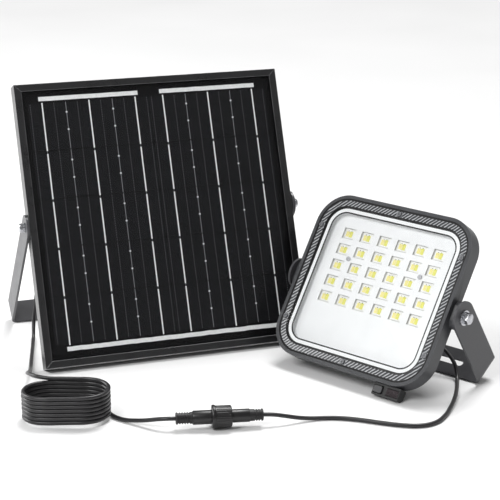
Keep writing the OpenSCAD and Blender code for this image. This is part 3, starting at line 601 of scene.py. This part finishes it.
mesh = bpy.data.meshes.new("cells")
verts, faces, own_points = [], [], []
w, h = CELL_HALF
for column, row in [(column, row) for column in COLUMNS for row in ROWS]:
    outline = [(-w, -h + CHAMFER), (-w + CHAMFER, -h), (w - CHAMFER, -h), (w, -h + CHAMFER),
               (w, h - CHAMFER), (w - CHAMFER, h), (-w + CHAMFER, h), (-w, h - CHAMFER)]
    first = len(verts)
    for y in CELL_Y:
        for x, z in outline:
            verts.append((x + column, y, z + row))
            own_points.append((x, y, z))
    faces.append(tuple(first + k for k in range(8)))
    faces.append(tuple(first + 8 + k for k in reversed(range(8))))
    faces += [(first + k, first + 8 + k, first + 8 + (k + 1) % 8, first + (k + 1) % 8) for k in range(8)]
mesh.from_pydata(verts, [], faces)
keep = mesh.attributes.new("local", "FLOAT_VECTOR", "POINT")
for cell, value in zip(keep.data, own_points):
    cell.vector = value
mesh.transform(PANEL @ Matrix.Scale(MM, 4))
mesh.materials.append(CELL)
mesh.validate()
link("cells", mesh, "panel", ("solar_cells",))


def add_strip(bm, start, end, half, y, wobble, steps, rng):
    """A flat strip from start to end in x and z, that wanders a little."""
    along = Vector((end[0] - start[0], 0, end[1] - start[1]))
    side = Vector((along.z, 0, -along.x)).normalized() * half
    rows = []
    for k in range(steps + 1):
        middle = Vector((start[0], y, start[1])) + along * k / steps
        drift = rng.uniform(-wobble, wobble)
        lift = rng.uniform(0, 0.08)
        shift = side.normalized() * drift
        rows.append([middle + shift - side, middle + shift - side * 0.3 - Vector((0, lift, 0)),
                     middle + shift + side * 0.4, middle + shift + side])
    add_loft(bm, rows, around=False)


rng = random.Random(3)
bm = bmesh.new()
for column in COLUMNS:
    for ribbon in RIBBONS:
        for row in ROWS:
            last = row == ROWS[-1]
            add_strip(bm, (column + ribbon, row - 31.6), (column + ribbon, row + (30.5 if last else 26.6)),
                      0.85, -5.22, 0.05, 5, rng)
from_bmesh("ribbons", bm, PANEL, [TINNED], "panel", ("cell_ribbons",))

bm = bmesh.new()
for column in COLUMNS:
    add_strip(bm, (column - 65, 160.7), (column + 65, 160.7), 2.75, -5.2, 0.15, 26, rng)
add_strip(bm, (-144.5, -158), (144.5, -158), 2.75, -5.2, 0.3, 48, rng)
from_bmesh("bars", bm, PANEL, [TINNED], "panel", ("bus_bars",))

for node, material, bevel in (
    ("junction_box", BLACK_PLASTIC, 0.6), ("junction_lid", BLACK_PLASTIC, 0.6),
    ("junction_screws", ZINC, 0.15),
    ("junction_gland", BLACK_PLASTIC, 0.3), ("panel_rivet_nuts", ZINC, 0.15),
    ("panel_pivot_bolts", ZINC, 0.2),
    ("panel_spring_washers", ZINC, 0.12), ("panel_flat_washers", ZINC, 0.15),
    ("panel_stand", STAND_PAINT, 0.5),
    ("lamp_bracket", STAND_PAINT, 0.5), ("lamp_pivot_bolts", ZINC, 0.3), ("lamp_spring_washers", ZINC, 0.15),
    ("lamp_flat_washers", ZINC, 0.2), ("lamp_housing", LAMP_GREY, 1.0), ("rear_cover", LAMP_GREY, 0.6),
    ("rear_screws", ZINC, 0.2), ("vent_plug", BLACK_PLASTIC, 0.3), ("cover_screws", DARK_STEEL, 0.25),
    ("reflector", WHITE, 0.35), ("board_screws", BOARD_SCREW, 0.25), ("control_box", CONTROL, 0.7),
    ("ir_window", IR_RED, 0.3), ("power_button", BUTTON, 0.6), ("lamp_gland", BLACK_PLASTIC, 0.4),
    ("gland_nut", BLACK_PLASTIC, 0.4),
):
    fine(node, material, bevel)

for node, material in (
    ("corner_keys", ALUMINIUM), ("edge_seal", RUBBER), ("panel_glass", PANEL_GLASS),
    ("back_sheet", BACK_SHEET),
    ("lid_gasket", RUBBER), ("terminal_board", CIRCUIT), ("contact_sockets", BRASS), ("o_ring", RUBBER),
    ("contact_pins", BRASS), ("rear_gasket", RUBBER), ("cover_gasket", RUBBER), ("led_board", BOARD_WHITE),
    ("battery_holder", BLACK_PLASTIC), ("battery_cells", SLEEVE), ("controller_board", CIRCUIT),
    ("button_switch", BLACK_PLASTIC),
):
    piece = frame["nodes"][node]
    piece.data.materials.clear()
    piece.data.materials.append(material)

# ---------------------------------------------------------------- lamp front
PANE_FRONT = -12.4  # places along the lamp's depth, mm
PANE_SIDE = -12.15
PANE_SEAT = -10.4
PANE_BACK = -10.5
BAND = -10.35
LED_PITCH = (27.8, 21.4)
LED_MIDDLE = 19  # height of the middle row of LEDs
LED_TOP = -1.6
LED_BASE = -1.25


def rings(places):
    """Lamp outlines for a loft, each from how far in it is and its depth."""
    return [at_depth(lamp_outline(edge), y) for edge, y in places]


bm = bmesh.new()
add_loft(bm, rings([(5.6, PANE_SEAT), (5.6, PANE_SIDE), (5.9, PANE_FRONT), (6.9, PANE_FRONT)]), material=2)
add_loft(bm, rings([(6.9, PANE_FRONT), (10.5, PANE_FRONT), (14.2, PANE_FRONT)]), material=1)
ring = add_loft(bm, rings([(14.2, PANE_FRONT), (15.0, PANE_FRONT)]), material=2)
bm.faces.new(ring[-1]).material_index = 0
back = [bm.verts.new(p) for p in at_depth(lamp_outline(15.0), PANE_BACK)]
bm.faces.new(back).material_index = 0
from_bmesh("cover_pane", bm, LAMP, [LAMP_CLEAR, PRISMS, BLACK_LINE], "lamp",
           ("clear_cover",), 60)

bm = bmesh.new()
add_loft(bm, rings([(15.2, -10.0), (15.2, BAND), (17.2, BAND)]), material=1)
add_loft(bm, rings([(17.2, BAND), (21.6, BAND)]), material=0)
add_loft(bm, rings([(21.6, BAND), (23.4, -10.3), (23.4, -9.95)]), material=1)
from_bmesh("mask_band", bm, LAMP, [WHITE, BLACK_LINE], "lamp", ("light_mask",), 30)

bm = bmesh.new()
for c in range(6):
    for r in range(5):
        x, z = (c - 2.5) * LED_PITCH[0], LED_MIDDLE + (2 - r) * LED_PITCH[1]
        add_box(bm, (x - 6.4, -1.3, z - 6.4), (x + 8.5, 0, z + 6.4), 0.3, 0)
        add_box(bm, (x - 5.1, LED_TOP, z - 3.9), (x - 0.3, LED_BASE, z + 3.1), 0.12, 1)
        add_box(bm, (x + 0.2, LED_TOP, z - 4.3), (x + 5.0, LED_BASE, z + 3.5), 0.12, 3)
        for side in (-2.2, 2.2):
            add_box(bm, (x + side - 0.5, -1.62, z + 3.6), (x + side + 0.5, LED_BASE, z + 4.3), 0.05, 2)
from_bmesh("diodes", bm, LAMP, [LED_WHITE, PHOSPHOR, LED_MARK, PHOSPHOR_GREEN], "lamp",
           ("leds",))

# ---------------------------------------------------------------- floor and light
FLOOR_ALBEDO = 0.86
FLOOR_SIZE = 6.0  # m
FLOOR_DROP = 0.0002  # m under the object, so that the two don't share a plane
SKY = 0.31  # strength of the even light from all round
SUN = 2.45
SUN_WIDTH = 24  # degrees, which sets how soft the shadows are

bm = bmesh.new()
bmesh.ops.create_grid(bm, x_segments=2, y_segments=2, size=FLOOR_SIZE)
floor_mesh = bpy.data.meshes.new("floor")
bm.to_mesh(floor_mesh)
bm.free()
floor_mesh.materials.append(surface("floor_white", (FLOOR_ALBEDO,) * 3 + (1,), 0.55, grain=2.0, bump=0.0,
                                    blotch=400, vary=0.01, specular=0.3))
floor = bpy.data.objects.new("floor", floor_mesh)
floor.location = (0, 0, -FLOOR_DROP)
bpy.context.scene.collection.objects.link(floor)

world = bpy.data.worlds.new("studio")
world.use_nodes = True
world.node_tree.nodes["Background"].inputs["Color"].default_value = (1, 1, 1, 1)
world.node_tree.nodes["Background"].inputs["Strength"].default_value = SKY
bpy.context.scene.world = world
bpy.context.scene.view_settings.view_transform = "Standard"


def softbox(name, where, size, watts):
    light = bpy.data.lights.new(name, "AREA")
    light.shape = "RECTANGLE"
    light.size, light.size_y = size
    light.energy = watts
    lamp = bpy.data.objects.new(name, light)
    lamp.location = where
    lamp.rotation_euler = (Vector((0, 0, 0.12)) - Vector(where)).to_track_quat("-Z", "Y").to_euler()
    bpy.context.scene.collection.objects.link(lamp)


softbox("key", (-1.2, -1.5, 1.9), (1.1, 1.1), 35)
softbox("side", (-2.2, 0.6, 0.9), (1.4, 1.2), 36)
sun = bpy.data.lights.new("sun", "SUN")
sun.energy = SUN
sun.angle = math.radians(SUN_WIDTH)
sun_lamp = bpy.data.objects.new("sun", sun)
sun_lamp.rotation_euler = (math.radians(-24), math.radians(10), 0)
bpy.context.scene.collection.objects.link(sun_lamp)
